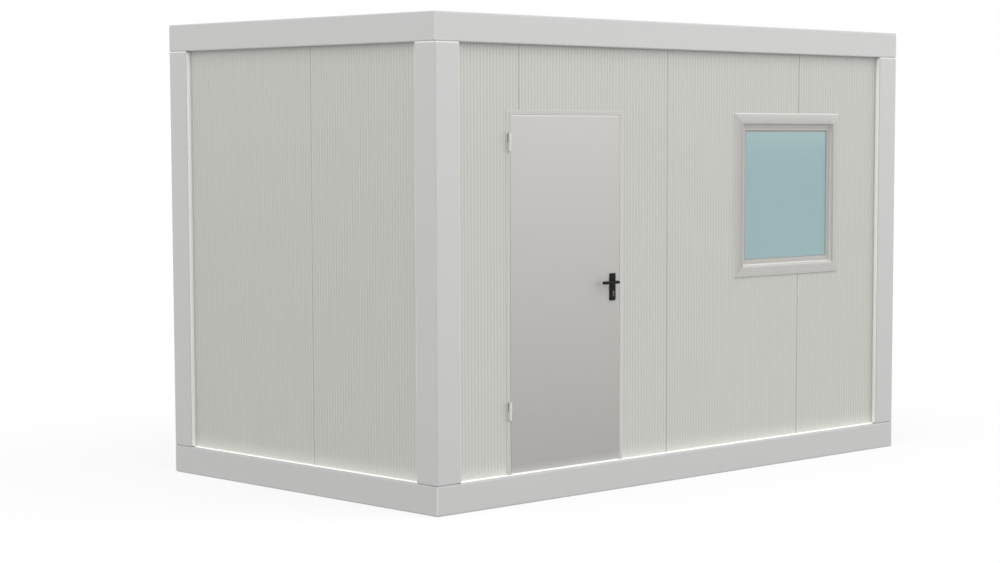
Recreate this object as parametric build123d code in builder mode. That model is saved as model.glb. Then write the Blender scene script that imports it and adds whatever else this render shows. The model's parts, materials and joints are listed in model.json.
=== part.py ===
"""Office container: a folded steel frame filled with ribbed sandwich panels, one door and one window.

The origin is the middle of the base, +X runs to the right along the front wall, +Y to the back
and +Z up. Lengths are in millimetres. Depth means the distance inward from a side's outer face.
"""
import math
import os

from build123d import *

os.makedirs("parts", exist_ok=True)

# Overall size
length = 4000
width = 2400
height = 2700

# Folded steel frame
base_height = 165
roof_height = 160
wall_recess = 30
frame_sheet = 4
bend_radius = 9
post_front_face = 176
post_side_face = 170
post_sheet = 3
post_end_plate = 10
post_end_bevel = 5

# Wall panels, with micro ribs outside and tongue and groove joints, of which one lies past the
# leaf's hinged edge and one past the window's middle
panel_thickness = 60
rib_pitch = 24
rib_crest = 8
rib_flank = 4
rib_depth = 1.1
joint_chamfer = 5
joint_gap = 0.6
tongue_width = 20
tongue_depth = 10
wall_panel_count = 4
end_joint = 1087
door_joint = 71
window_joint = 106

# Floor
joist_count = 7
joist_flange = 50
joist_sheet = 3
underfloor_sheet = 1.5
deck_thickness = 18
covering_thickness = 2

# Roof panels, with tall ribs across the width
roof_panel_count = 4
roof_core = 80
roof_rib_height = 38
roof_rib_crest = 30
roof_rib_foot = 70
roof_ribs_per_panel = 3

# Door leaf, placed from the left end, from the roof ring and by its depth behind the front face
leaf_left = 567
leaf_width = 868
leaf_below_roof = 383
leaf_thickness = 40
leaf_depth = 25
leaf_lip = 6
leaf_rebate = 18
leaf_edge_radius = 4
leaf_foot_gap = 8

# Door frame, a folded sheet round the wall's edge with a step behind the leaf's lip and a stop behind
# its body
frame_gap = 8
door_sheet = 3
door_flange = 14
stop_width = 16
stop_gap = 6

# Hinges, on the left of the leaf, by their middles from the leaf's foot and top
hinge_from_foot = 351
hinge_from_top = 150
hinge_length = 100
hinge_radius = 8
hinge_pin_radius = 5
hinge_clearance = 0.2
hinge_washer_gap = 0.6
hinge_side_gap = 11
hinge_depth = 16
hinge_cap = 5
hinge_wing = 4
hinge_wing_reach = 18
hinge_strap = 10

# Door furniture, placed from the leaf's free edge and its foot
plate_width = 46
plate_height = 156
plate_thickness = 8
plate_corner = 6
plate_rim = 2
plate_above_spindle = 50
spindle_from_edge = 63
spindle_height = 1031
spindle_clearance = 2
lever_length = 119
lever_radius = 9
lever_reach = 39
lever_rim = 2
lever_clearance = 0.4
cylinder_drop = 59
cylinder_radius = 8.5
cylinder_web = 10
cylinder_height = 33
cylinder_proud = 3
cylinder_clearance = 0.4

# Window, placed by its middle from the right end and below the roof ring
window_from_right = 1060
window_below_roof = 864
trim_size = 990
trim_width = 66
trim_edge = 7
trim_rise = 18
trim_round = 10
trim_bevel = 4
trim_lip = 3.2
sash_show = 37
glass_thickness = 24
glass_depth = 41
glass_rebate = 12
sash_width = 40
sash_depth = 35
sash_back = 98
bead_chamfer = 5
casing_width = 30
casing_back = 102
casing_lap = 24
casing_lap_thickness = 6
window_gap = 3

# Shared fit between pieces that lie against each other
fit_gap = 0.3

# Places worked out from the sizes above
left_face = -length / 2
front_face = -width / 2
roof_bottom = height - roof_height
wall_inner = wall_recess + panel_thickness
channel_clear = bend_radius + fit_gap
leaf_hinge_edge = left_face + leaf_left
leaf_free_edge = leaf_hinge_edge + leaf_width
leaf_foot = base_height + leaf_foot_gap
leaf_top = roof_bottom - leaf_below_roof
leaf_height = leaf_top - leaf_foot
leaf_front = front_face + leaf_depth
leaf_back = leaf_front + leaf_thickness
window_middle = length / 2 - window_from_right
window_up = roof_bottom - window_below_roof
daylight_size = trim_size - 2 * (trim_width + sash_show)


def finish(piece, name):
    """Label a finished piece and write it as one node."""
    piece.part.label = name
    export_step(piece.part, f"parts/{name}.step")


def side_plane(turn):
    """Return a side's plan plane, with local x along the side and local y inward."""
    return Plane.XY.rotated((0, 0, turn))


# Base and roof rings: folded channels with rounded corners, open to the inside and parted at the mitres
sides = {
    "front": (0, length, width / 2),
    "right": (90, width, length / 2),
    "back": (180, length, width / 2),
    "left": (270, width, length / 2),
}
lying = (Align.CENTER, Align.CENTER, Align.MIN)


def frame_ring(bottom, rise):
    """Return a whole ring: a rounded box, hollow to the sheet's thickness and open in the middle."""
    with BuildPart() as hollow:
        with Locations((0, 0, bottom + frame_sheet)):
            Box(length - 2 * frame_sheet, width - 2 * frame_sheet, rise - 2 * frame_sheet, align=lying)
        chamfer(edges(), length=bend_radius - frame_sheet)
    with BuildPart() as ring:
        with Locations((0, 0, bottom)):
            Box(length, width, rise, align=lying)
        fillet(edges(), radius=bend_radius)
        add(hollow.part, mode=Mode.SUBTRACT)
        with Locations((0, 0, bottom)):
            Box(length - 2 * wall_inner, width - 2 * wall_inner, rise, align=lying, mode=Mode.SUBTRACT)
    return ring.part


rings = {"base_beam": (0, base_height), "roof_beam": (roof_bottom, roof_height)}
mitre_margin = bend_radius + wall_inner
for ring_name, (bottom, rise) in rings.items():
    whole_ring = frame_ring(bottom, rise)
    for side, (turn, run, reach) in sides.items():
        with BuildPart() as beam:
            add(whole_ring)
            with BuildSketch(side_plane(turn).offset(bottom - mitre_margin)):
                with BuildLine():
                    Polyline(
                        (-run / 2 - mitre_margin, -reach - mitre_margin),
                        (run / 2 + mitre_margin, -reach - mitre_margin),
                        (run / 2 - wall_inner - mitre_margin, -reach + wall_inner + mitre_margin),
                        (-run / 2 + wall_inner + mitre_margin, -reach + wall_inner + mitre_margin),
                        close=True,
                    )
                make_face()
            extrude(amount=rise + 2 * mitre_margin, mode=Mode.INTERSECT)
        finish(beam, f"{ring_name}_{side}")

# Corner posts: lipped angles of folded sheet between the rings, with a rounded plate at each end
post_lip = wall_recess - fit_gap
post_skin = [
    (left_face + post_front_face, front_face + post_lip),
    (left_face + post_front_face, front_face),
    (left_face, front_face),
    (left_face, front_face + post_side_face),
    (left_face + post_lip, front_face + post_side_face),
]
post_inner_corner = (left_face + post_lip, front_face + post_lip)


def is_outside(edge):
    """Tell whether an edge of the front left post lies in front of the walls' faces."""
    middle = edge.center()
    return middle.X < post_inner_corner[0] - fit_gap or middle.Y < post_inner_corner[1] - fit_gap


with BuildPart() as front_left_post:
    with BuildSketch(Plane.XY.offset(base_height)):
        with BuildLine():
            FilletPolyline(*post_skin, radius=bend_radius)
            offset(amount=post_sheet, side=Side.RIGHT)
        make_face()
    extrude(amount=roof_bottom - base_height)
    for plate_foot in (base_height, roof_bottom - post_end_plate):
        with BuildSketch(Plane.XY.offset(plate_foot)):
            with BuildLine():
                skin = FilletPolyline(*post_skin, radius=bend_radius)
                Polyline(skin @ 1, post_inner_corner, skin @ 0)
            make_face()
        extrude(amount=post_end_plate)
    end_faces = faces().sort_by(Axis.Z)
    rims = end_faces[0].edges() + end_faces[-1].edges()
    chamfer(rims.filter_by(is_outside), length=post_end_bevel)
with BuildPart() as back_left_post:
    mirror(front_left_post.part, about=Plane.XZ)
half_turn = (0, 0, 180)
with BuildPart() as front_right_post:
    add(back_left_post.part, rotation=half_turn)
with BuildPart() as back_right_post:
    add(front_left_post.part, rotation=half_turn)
finish(front_left_post, "corner_post_front_left")
finish(front_right_post, "corner_post_front_right")
finish(back_left_post, "corner_post_back_left")
finish(back_right_post, "corner_post_back_right")

# Floor: joists across the base, a galvanised sheet on them, the deck and its covering
deck_bottom = base_height - deck_thickness
sheet_bottom = deck_bottom - underfloor_sheet
joist_height = sheet_bottom - frame_sheet
corner_first = (Align.MIN, Align.MIN)
with BuildPart() as floor_joists:
    with BuildSketch(Plane.XZ):
        with GridLocations(length / joist_count, 0, joist_count, 1):
            with Locations((-joist_flange / 2, frame_sheet)):
                Rectangle(joist_flange, joist_height, align=corner_first)
            with Locations((-joist_flange / 2 + joist_sheet, frame_sheet + joist_sheet)):
                web_space = joist_height - 2 * joist_sheet
                Rectangle(joist_flange, web_space, align=corner_first, mode=Mode.SUBTRACT)
    extrude(amount=width / 2 - channel_clear, both=True)
finish(floor_joists, "floor_joists")
with BuildPart() as underfloor:
    with Locations((0, 0, sheet_bottom)):
        Box(length - 2 * channel_clear, width - 2 * channel_clear, underfloor_sheet, align=lying)
finish(underfloor, "underfloor_sheet")
room_length = length - 2 * (wall_inner + fit_gap)
room_width = width - 2 * (wall_inner + fit_gap)
with BuildPart() as floor_deck:
    with Locations((0, 0, deck_bottom)):
        Box(room_length, room_width, deck_thickness, align=lying)
finish(floor_deck, "floor_deck")
covering_length = room_length - 2 * door_sheet
covering_width = room_width - 2 * door_sheet
with BuildPart() as floor_covering:
    with Locations((0, 0, base_height)):
        Box(covering_length, covering_width, covering_thickness, align=lying)
finish(floor_covering, "floor_covering")

# Roof panels: a flat ceiling face below, tall drainage ribs on top, lying on the roof ring's lower flange
roof_run = length - 2 * channel_clear
roof_cover = roof_run / roof_panel_count
roof_rib_pitch = roof_cover / roof_ribs_per_panel
ceiling = roof_bottom + frame_sheet
roof_valley = ceiling + roof_core
roof_crest = roof_valley + roof_rib_height


def roof_outline(start, end):
    """Return a roof panel's section from one joint to the next, ribs included."""
    points = [(end, ceiling), (start, ceiling), (start, roof_valley)]
    for rib in range(roof_ribs_per_panel):
        middle = start + roof_rib_pitch / 2 + rib * roof_rib_pitch
        points += [
            (middle - roof_rib_foot / 2, roof_valley),
            (middle - roof_rib_crest / 2, roof_crest),
            (middle + roof_rib_crest / 2, roof_crest),
            (middle + roof_rib_foot / 2, roof_valley),
        ]
    return points + [(end, roof_valley)]


for number in range(roof_panel_count):
    panel_start = -roof_run / 2 + number * roof_cover
    with BuildPart() as roof_panel:
        with BuildSketch(Plane.XZ):
            with BuildLine():
                Polyline(*roof_outline(panel_start, panel_start + roof_cover - joint_gap), close=True)
            make_face()
        extrude(amount=width / 2 - channel_clear, both=True)
    finish(roof_panel, f"roof_panel_{number + 1}")

# Wall panels: micro ribs outside, a flat face inside, tongue and groove where two panels meet
rib_valley = rib_pitch - rib_crest - 2 * rib_flank


def rib_depth_at(place, datum):
    """Return how far the ribbed face lies behind the crests, at a place along a wall."""
    from_crest = abs((place - datum) % rib_pitch - rib_pitch / 2) - rib_crest / 2
    return rib_depth * min(max(from_crest / rib_flank, 0), 1)


def rib_corners(start, end, datum):
    """Return the places between start and end where the ribbed face bends."""
    first = math.floor((start - datum) / rib_pitch)
    last = math.ceil((end - datum) / rib_pitch)
    bends = (rib_valley / 2, rib_valley / 2 + rib_flank)
    bends += (rib_pitch - bends[1], rib_pitch - bends[0])
    places = [datum + rib * rib_pitch + bend for rib in range(first, last) for bend in bends]
    return [place for place in places if start + fit_gap < place < end - fit_gap]


def panel_outline(face, start, end, datum, grooved, tongued):
    """Return a panel's plan section, its ribbed face first, with its joint edges."""
    inner = face + panel_thickness
    middle = face + panel_thickness / 2
    skin = face + rib_depth
    ribs_from = start + joint_chamfer if grooved else start
    ribs_to = end - joint_chamfer if tongued else end
    points = [(start, skin + joint_chamfer)] if grooved else []
    points += [(ribs_from, face + rib_depth_at(ribs_from, datum))]
    points += [(x, face + rib_depth_at(x, datum)) for x in rib_corners(ribs_from, ribs_to, datum)]
    points += [(ribs_to, face + rib_depth_at(ribs_to, datum))]
    if tongued:
        tongue_tip = end + tongue_depth - joint_gap
        points += [(end, skin + joint_chamfer), (end, middle - tongue_width / 2)]
        points += [(tongue_tip, middle - tongue_width / 2), (tongue_tip, middle + tongue_width / 2)]
        points += [(end, middle + tongue_width / 2)]
    points += [(end, inner), (start, inner)]
    if grooved:
        groove_end = start + tongue_depth
        groove_half = tongue_width / 2 + joint_gap
        points += [(start, middle + groove_half), (groove_end, middle + groove_half)]
        points += [(groove_end, middle - groove_half), (start, middle - groove_half)]
    return points


def wall_panels(name, side, strips):
    """Make one node of ribbed panels: each strip has its ends, rib datum, foot, top and joint edges."""
    turn, _, reach = sides[side]
    with BuildPart() as panels:
        for start, end, datum, foot, top, grooved, tongued in strips:
            with BuildSketch(side_plane(turn).offset(foot)):
                with BuildLine():
                    outline = panel_outline(-reach + wall_recess, start, end, datum, grooved, tongued)
                    Polyline(*outline, close=True)
                make_face()
            extrude(amount=top - foot)
    finish(panels, name)


# Openings in the front wall, with room for the door frame and the window's casing
door_cut_left = leaf_hinge_edge - frame_gap - door_sheet - fit_gap
door_cut_right = leaf_free_edge + frame_gap + door_sheet + fit_gap
door_cut_top = leaf_top + frame_gap + door_sheet + fit_gap
casing_size = daylight_size + 2 * (sash_width + casing_width)
window_cut = casing_size / 2 + window_gap
window_cut_left = window_middle - window_cut
window_cut_right = window_middle + window_cut
window_cut_foot = window_up - window_cut
window_cut_top = window_up + window_cut

long_end = length / 2 - wall_recess
first_joint = leaf_hinge_edge + door_joint
last_joint = window_middle + window_joint
joint_count = wall_panel_count - 1
panel_cover = (last_joint - first_joint) / (joint_count - 1)
joints = [first_joint + number * panel_cover for number in range(joint_count)]
starts = [-long_end] + [joint + joint_gap / 2 for joint in joints]
ends = [joint - joint_gap / 2 for joint in joints] + [long_end]
datums = [joints[0]] + joints
wall_span = (base_height, roof_bottom)
over_door = (door_cut_top, roof_bottom)
under_window = (base_height, window_cut_foot)
over_window = (window_cut_top, roof_bottom)
window_left_strip = (window_cut_left, ends[2], datums[2])
window_right_strip = (starts[3], window_cut_right, datums[3])
front_nodes = {
    "front_panel_1": [(starts[0], door_cut_left, datums[0], *wall_span, False, False)],
    "front_panel_2": [(door_cut_right, ends[1], datums[1], *wall_span, False, True)],
    "front_panel_3": [(starts[2], window_cut_left, datums[2], *wall_span, True, False)],
    "front_panel_4": [(window_cut_right, ends[3], datums[3], *wall_span, False, False)],
    "over_door_panels": [
        (door_cut_left, ends[0], datums[0], *over_door, False, True),
        (starts[1], door_cut_right, datums[1], *over_door, True, False),
    ],
    "under_window_panels": [
        (*window_left_strip, *under_window, False, True),
        (*window_right_strip, *under_window, True, False),
    ],
    "over_window_panels": [
        (*window_left_strip, *over_window, False, True),
        (*window_right_strip, *over_window, True, False),
    ],
}
for name, strips in front_nodes.items():
    wall_panels(name, "front", strips)
for number in range(wall_panel_count):
    strip_place = (starts[number], ends[number], datums[number])
    strip = (*strip_place, *wall_span, number > 0, number < joint_count)
    wall_panels(f"back_panel_{number + 1}", "back", [strip])
end_reach = width / 2 - wall_inner - fit_gap
left_joint = width / 2 - end_joint
right_joint = -left_joint
for side, joint in (("left", left_joint), ("right", right_joint)):
    first_strip = (-end_reach, joint - joint_gap / 2, joint, *wall_span, False, True)
    second_strip = (joint + joint_gap / 2, end_reach, joint, *wall_span, True, False)
    wall_panels(f"{side}_panel_1", side, [first_strip])
    wall_panels(f"{side}_panel_2", side, [second_strip])


# Bars that lie round an opening of the front wall, cut to their mitres in elevation
def mitred_bar(name, plane, run, profile, elevation):
    with BuildPart() as bar:
        with BuildSketch(plane):
            add(profile.sketch)
        extrude(amount=run)
        with BuildSketch(Plane.XZ):
            with BuildLine():
                Polyline(*elevation, close=True)
            make_face()
        extrude(amount=width, both=True, mode=Mode.INTERSECT)
    finish(bar, name)


# Door frame: a face flange outside, the step that takes the leaf's lip, the stop and a flange inside
flange_face = wall_recess - door_sheet
step_face = leaf_depth + leaf_lip + stop_gap
stop_face = leaf_depth + leaf_thickness + stop_gap
inside_face = wall_inner + door_sheet
step = door_flange + leaf_rebate
reveal = step + stop_width
with BuildSketch() as door_frame_profile:
    with BuildLine():
        Polyline(
            (0, flange_face),
            (door_flange, flange_face),
            (door_flange, step_face),
            (step, step_face),
            (step, stop_face),
            (reveal, stop_face),
            (reveal, inside_face),
            (0, inside_face),
            (0, wall_inner),
            (reveal - door_sheet, wall_inner),
            (reveal - door_sheet, stop_face + door_sheet),
            (step - door_sheet, stop_face + door_sheet),
            (step - door_sheet, step_face + door_sheet),
            (door_flange - door_sheet, step_face + door_sheet),
            (door_flange - door_sheet, wall_recess),
            (0, wall_recess),
            close=True,
        )
    make_face()
frame_left = leaf_hinge_edge - frame_gap - door_flange
frame_right = leaf_free_edge + frame_gap + door_flange
frame_top = leaf_top + frame_gap + door_flange
hinge_foot_point = (frame_left, front_face, base_height)
hinge_top_point = (frame_left, front_face, frame_top)
lock_top_point = (frame_right, front_face, frame_top)
mitred_bar(
    "door_jamb_hinge_side",
    Plane(hinge_foot_point, x_dir=(1, 0, 0), z_dir=(0, 0, 1)),
    frame_top - base_height,
    door_frame_profile,
    [
        (frame_left, base_height),
        (frame_left, frame_top),
        (frame_left + reveal, frame_top - reveal),
        (frame_left + reveal, base_height),
    ],
)
mitred_bar(
    "door_jamb_lock_side",
    Plane(lock_top_point, x_dir=(-1, 0, 0), z_dir=(0, 0, -1)),
    frame_top - base_height,
    door_frame_profile,
    [
        (frame_right, base_height),
        (frame_right, frame_top),
        (frame_right - reveal, frame_top - reveal),
        (frame_right - reveal, base_height),
    ],
)
mitred_bar(
    "door_head",
    Plane(hinge_top_point, x_dir=(0, 0, -1), z_dir=(1, 0, 0)),
    frame_right - frame_left,
    door_frame_profile,
    [
        (frame_left, frame_top),
        (frame_right, frame_top),
        (frame_right - reveal, frame_top - reveal),
        (frame_left + reveal, frame_top - reveal),
    ],
)

# Door leaf, with a lip round its sides and top and the holes for its spindle and its lock
spindle_x = leaf_free_edge - spindle_from_edge
spindle_z = leaf_foot + spindle_height
lock_z = spindle_z - cylinder_drop
with BuildSketch() as lock_profile:
    Circle(cylinder_radius)
    web_foot = cylinder_radius + cylinder_web / 2 - cylinder_height
    Rectangle(cylinder_web, -web_foot, align=(Align.CENTER, Align.MAX))
    with Locations((0, web_foot)):
        Circle(cylinder_web / 2)
with BuildSketch() as lock_hole:
    add(lock_profile.sketch)
    offset(amount=cylinder_clearance)
lock_plane = Plane((spindle_x, leaf_front, lock_z), x_dir=(1, 0, 0), z_dir=(0, -1, 0))
spindle_plane = Plane((spindle_x, leaf_front, spindle_z), x_dir=(1, 0, 0), z_dir=(0, -1, 0))
from_front = (Align.MIN, Align.MIN, Align.MIN)
with BuildPart() as door_leaf:
    with Locations((leaf_hinge_edge, leaf_front, leaf_foot)):
        Box(leaf_width, leaf_lip, leaf_height, align=from_front)
    fillet(faces().sort_by(Axis.Y)[0].edges(), radius=leaf_edge_radius)
    body_width = leaf_width - 2 * leaf_rebate
    with Locations((leaf_hinge_edge + leaf_rebate, leaf_front + leaf_lip, leaf_foot)):
        Box(body_width, leaf_thickness - leaf_lip, leaf_height - leaf_rebate, align=from_front)
    with BuildSketch(spindle_plane):
        Circle(lever_radius + spindle_clearance)
    with BuildSketch(lock_plane):
        add(lock_hole.sketch)
    extrude(amount=-leaf_thickness, mode=Mode.SUBTRACT)
finish(door_leaf, "door_leaf")

# Hinges: the lower half with its pin stands on the frame, the upper half turns with the leaf
hinge_x = leaf_hinge_edge - hinge_side_gap
hinge_y = front_face + hinge_depth
hinge_half = (hinge_length - hinge_washer_gap) / 2
hinge_middles = (leaf_foot + hinge_from_foot, leaf_top - hinge_from_top)
hinge_feet = [middle - hinge_length / 2 for middle in hinge_middles]
strap_depth = front_face + flange_face - hinge_y
with BuildPart() as hinge_frame_halves:
    for foot in hinge_feet:
        with Locations((hinge_x, hinge_y, foot)):
            Cylinder(hinge_radius, hinge_half, align=lying)
            Cylinder(hinge_pin_radius, hinge_length - hinge_cap - hinge_washer_gap, align=lying)
        with Locations((hinge_x - hinge_radius, hinge_y, foot)):
            Box(hinge_strap, strap_depth, hinge_half, align=from_front)
finish(hinge_frame_halves, "hinge_frame_halves")
wing_front = leaf_front - hinge_wing
with BuildPart() as hinge_leaf_halves:
    for foot in hinge_feet:
        upper_foot = foot + hinge_half + hinge_washer_gap
        with Locations((hinge_x, hinge_y, upper_foot)):
            Cylinder(hinge_radius, hinge_half, align=lying)
        with Locations((hinge_x, wing_front, upper_foot)):
            Box(hinge_wing_reach, hinge_wing, hinge_half, align=from_front)
        with Locations((hinge_x, hinge_y, upper_foot)):
            bore = hinge_half - hinge_cap
            Cylinder(hinge_pin_radius + hinge_clearance, bore, align=lying, mode=Mode.SUBTRACT)
finish(hinge_leaf_halves, "hinge_leaf_halves")

# Handle plates on both faces of the leaf
with BuildPart() as handle_plates:
    for plate_y, outward in ((leaf_front, -1), (leaf_back, 1)):
        plate_plane = Plane((spindle_x, plate_y, spindle_z), x_dir=(-outward, 0, 0), z_dir=(0, outward, 0))
        with BuildSketch(plate_plane):
            with Locations((0, plate_above_spindle - plate_height / 2)):
                RectangleRounded(plate_width, plate_height, plate_corner)
            Circle(lever_radius + lever_clearance, mode=Mode.SUBTRACT)
            with Locations((0, -cylinder_drop)):
                add(lock_hole.sketch, mode=Mode.SUBTRACT)
        extrude(amount=plate_thickness)
    for plate_face in (faces().sort_by(Axis.Y)[0], faces().sort_by(Axis.Y)[-1]):
        chamfer(plate_face.outer_wire().edges(), length=plate_rim)
finish(handle_plates, "handle_plates")

# Lock: a profile cylinder through the leaf and both plates
lock_reach = plate_thickness + cylinder_proud
with BuildPart() as lock_cylinder:
    with BuildSketch(lock_plane.offset(lock_reach)):
        add(lock_profile.sketch)
    extrude(amount=-leaf_thickness - 2 * lock_reach)
finish(lock_cylinder, "lock_cylinder")

# Levers outside and inside, round bars mitred at their corners, on one spindle through the leaf
leaf_middle = (leaf_front + leaf_back) / 2
lever_tip = spindle_x - lever_length
with BuildPart() as door_levers:
    for lever_y in (leaf_front - plate_thickness - lever_reach, leaf_back + plate_thickness + lever_reach):
        with BuildLine() as lever_path:
            Polyline(
                (spindle_x, leaf_middle, spindle_z),
                (spindle_x, lever_y, spindle_z),
                (lever_tip, lever_y, spindle_z),
            )
        with BuildSketch(Plane((spindle_x, leaf_middle, spindle_z), z_dir=lever_path.line % 0)):
            Circle(lever_radius)
        sweep(path=lever_path.line, transition=Transition.RIGHT)
    lever_ends = faces().sort_by(Axis.X)[:2]
    chamfer([end.edges()[0] for end in lever_ends], length=lever_rim)
finish(door_levers, "door_levers")

# Window trim: four bars that rise to a round inner edge, with a lip that reaches in to the sash
lip_back = sash_depth - fit_gap
with BuildSketch() as trim_profile:
    with BuildLine():
        Polyline(
            (0, wall_recess - trim_edge),
            (0, wall_recess),
            (trim_width - trim_lip, wall_recess),
            (trim_width - trim_lip, lip_back),
            (trim_width, lip_back),
            (trim_width, wall_recess - trim_rise),
            close=True,
        )
    make_face()
    inner_edge, outer_edge = vertices().sort_by(Axis.Y)[:2]
    fillet(inner_edge, radius=trim_round)
    fillet(outer_edge, radius=trim_bevel)
trim_half = trim_size / 2
trim_open = trim_half - trim_width
corner_signs = [(-1, -1), (-1, 1), (1, 1), (1, -1)]
trim_bars = [
    ("left", (1, 0, 0), (0, 0, 1)),
    ("top", (0, 0, -1), (1, 0, 0)),
    ("right", (-1, 0, 0), (0, 0, -1)),
    ("bottom", (0, 0, 1), (-1, 0, 0)),
]
for number, (side, inward, along) in enumerate(trim_bars):
    here, there = corner_signs[number], corner_signs[(number + 1) % len(corner_signs)]
    bar_start = (window_middle + here[0] * trim_half, front_face, window_up + here[1] * trim_half)
    mitre = [(sign, trim_half) for sign in (here, there)] + [(sign, trim_open) for sign in (there, here)]
    mitred_bar(
        f"window_trim_{side}",
        Plane(bar_start, x_dir=inward, z_dir=along),
        trim_size,
        trim_profile,
        [(window_middle + sign[0] * size, window_up + sign[1] * size) for sign, size in mitre],
    )


# Window casing, sash and pane, drawn in elevation at their depths behind the front face
def window_plane(depth):
    return Plane((window_middle, front_face + depth, window_up), x_dir=(1, 0, 0), z_dir=(0, -1, 0))


sash_size = daylight_size + 2 * sash_width
lap_size = casing_size + 2 * casing_lap
pane_size = daylight_size + 2 * glass_rebate
sash_room = sash_size + 2 * fit_gap
with BuildPart() as window_casing:
    with BuildSketch(window_plane(wall_recess)):
        Rectangle(casing_size, casing_size)
    extrude(amount=wall_recess - casing_back)
    with BuildSketch(window_plane(wall_inner)):
        Rectangle(lap_size, lap_size)
    extrude(amount=-casing_lap_thickness)
    with BuildSketch(window_plane(wall_recess)):
        Rectangle(sash_room, sash_room)
    extrude(amount=wall_recess - casing_back, mode=Mode.SUBTRACT)
finish(window_casing, "window_casing")
with BuildPart() as window_sash:
    with BuildSketch(window_plane(sash_depth)):
        Rectangle(sash_size, sash_size)
        Rectangle(daylight_size, daylight_size, mode=Mode.SUBTRACT)
    extrude(amount=sash_depth - sash_back)
    chamfer(faces().sort_by(Axis.Y)[0].inner_wires()[0].edges(), length=bead_chamfer)
    with BuildSketch(window_plane(glass_depth - fit_gap)):
        Rectangle(pane_size + 2 * fit_gap, pane_size + 2 * fit_gap)
    extrude(amount=-glass_thickness - 2 * fit_gap, mode=Mode.SUBTRACT)
finish(window_sash, "window_sash")
with BuildPart() as window_glass:
    with BuildSketch(window_plane(glass_depth)):
        Rectangle(pane_size, pane_size)
    extrude(amount=-glass_thickness)
finish(window_glass, "window_glass")
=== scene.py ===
"""Looks of the office container: finishes, small fittings and a studio."""
import json
import math

import bmesh
import bpy
from mathutils import Matrix, Vector


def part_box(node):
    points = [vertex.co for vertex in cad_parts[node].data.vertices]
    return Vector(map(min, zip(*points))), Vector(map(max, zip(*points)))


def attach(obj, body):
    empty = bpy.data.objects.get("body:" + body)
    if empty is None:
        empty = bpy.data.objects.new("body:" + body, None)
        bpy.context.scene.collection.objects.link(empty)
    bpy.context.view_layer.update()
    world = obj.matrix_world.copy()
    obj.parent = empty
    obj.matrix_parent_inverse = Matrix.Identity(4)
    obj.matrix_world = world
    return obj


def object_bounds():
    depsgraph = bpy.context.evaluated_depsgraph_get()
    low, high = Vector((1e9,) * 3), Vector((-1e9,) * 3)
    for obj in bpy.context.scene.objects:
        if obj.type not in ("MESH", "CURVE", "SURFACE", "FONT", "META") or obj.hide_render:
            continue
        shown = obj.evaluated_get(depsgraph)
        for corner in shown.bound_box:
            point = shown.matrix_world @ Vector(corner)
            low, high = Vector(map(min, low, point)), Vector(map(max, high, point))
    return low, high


bl_info = {
    "name": "Office container looks",
    "version": (1, 0, 0),
    "blender": (4, 5, 0),
    "location": "3D View > Sidebar > Container",
    "description": "Finishes, fittings and a studio for an office container",
    "category": "Object",
}

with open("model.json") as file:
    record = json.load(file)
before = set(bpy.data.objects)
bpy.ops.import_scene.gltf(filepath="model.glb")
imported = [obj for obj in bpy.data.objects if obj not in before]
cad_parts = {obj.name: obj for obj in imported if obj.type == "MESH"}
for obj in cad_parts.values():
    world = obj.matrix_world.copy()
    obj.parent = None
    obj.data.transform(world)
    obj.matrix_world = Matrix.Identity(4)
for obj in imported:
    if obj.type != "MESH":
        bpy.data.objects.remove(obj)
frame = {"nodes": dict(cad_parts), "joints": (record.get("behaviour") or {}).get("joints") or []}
cad_low, cad_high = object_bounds()


def colour_property(name, description, default):
    """Return a colour property of the panel."""
    return bpy.props.FloatVectorProperty(
        name=name, description=description, default=default, size=3, subtype="COLOR", min=0.0, max=1.0
    )


def length_property(name, description, default):
    """Return a length property in metres."""
    return bpy.props.FloatProperty(
        name=name, description=description, default=default, unit="LENGTH", precision=4, min=0.0
    )


def strength_property(name, description, default):
    """Return a property for the strength of a light."""
    return bpy.props.FloatProperty(name=name, description=description, default=default, min=0.0)


class ContainerFinish(bpy.types.PropertyGroup):
    """Colours of the container's finishes."""

    frame_paint: colour_property("Frame paint", "Satin paint on the folded steel frame", (0.502, 0.502, 0.497))
    panel_paint: colour_property("Panel paint", "Coil coating on the ribbed walls", (0.497, 0.503, 0.468))
    roof_paint: colour_property("Roof paint", "Coil coating on the roof panels", (0.50, 0.515, 0.50))
    door_paint: colour_property("Door paint", "Satin paint on the leaf and its frame", (0.478, 0.469, 0.450))
    window_plastic: colour_property("Window plastic", "Plastic of trim, casing and sash", (0.415, 0.407, 0.390))
    pane_tint: colour_property("Pane tint", "Tint of the window pane", (0.30, 0.44, 0.45))
    white_seal: colour_property("White seal", "Strips at the feet and ends of the walls", (0.95, 0.955, 0.93))
    handle_plastic: colour_property("Handle plastic", "Black of plates and levers", (0.004, 0.004, 0.004))
    rubber: colour_property("Rubber", "Seal of the door", (0.03, 0.03, 0.032))
    groove_seal: colour_property("Groove seal", "Pale seal round the door leaf", (0.545, 0.545, 0.53))
    gasket: colour_property("Gasket", "Gaskets of the window pane", (0.30, 0.30, 0.295))
    hinge_paint: colour_property("Hinge paint", "Pale paint on the hinges", (0.60, 0.595, 0.58))
    lock_nickel: colour_property("Lock nickel", "Dull nickel of the lock cylinder", (0.13, 0.105, 0.08))
    vinyl: colour_property("Vinyl", "Floor covering", (0.26, 0.255, 0.24))


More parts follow.
